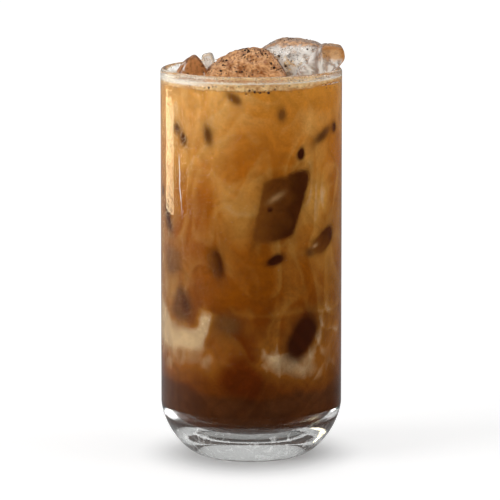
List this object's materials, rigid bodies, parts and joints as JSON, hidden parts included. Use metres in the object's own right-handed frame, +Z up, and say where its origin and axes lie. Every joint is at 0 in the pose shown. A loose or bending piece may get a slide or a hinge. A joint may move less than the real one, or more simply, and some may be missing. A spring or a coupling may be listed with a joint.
{
  "type": "iced chai latte in a glass",
  "caption": "Iced chai latte in a tall straight glass with a thick rounded base: milky tea up to the level shown, a thin foam with spice on it, and ice standing out above the rim.",
  "frame": {"origin": "centre of the flat base of the glass, on the surface it stands on", "axes": "+Z up along the glass, -Y towards the shown side, +X to the right as shown"},
  "size_m": [0.0728, 0.072, 0.1663],
  "materials": {
    "clear_glass": "clear polished glass",
    "milky_tea": "cloudy milky tea, amber above and dark brown below, with pale milk swirls and dark sunk ice",
    "foam": "fine bubbly pinkish tan foam with dark ground spice",
    "tea_coated_ice": "wet ice under a coat of foam and ground spice",
    "clear_ice": "wet melting ice with cloudy swirls and tea-coloured edges"
  },
  "bodies": {
    "root": {"glass": "clear_glass", "drink": "milky_tea", "foam": "foam", "ice_left": "tea_coated_ice", "ice_back_left": "clear_ice", "ice_middle": "tea_coated_ice", "ice_peak": "clear_ice", "ice_right": "clear_ice"}
  },
  "joints": []
}
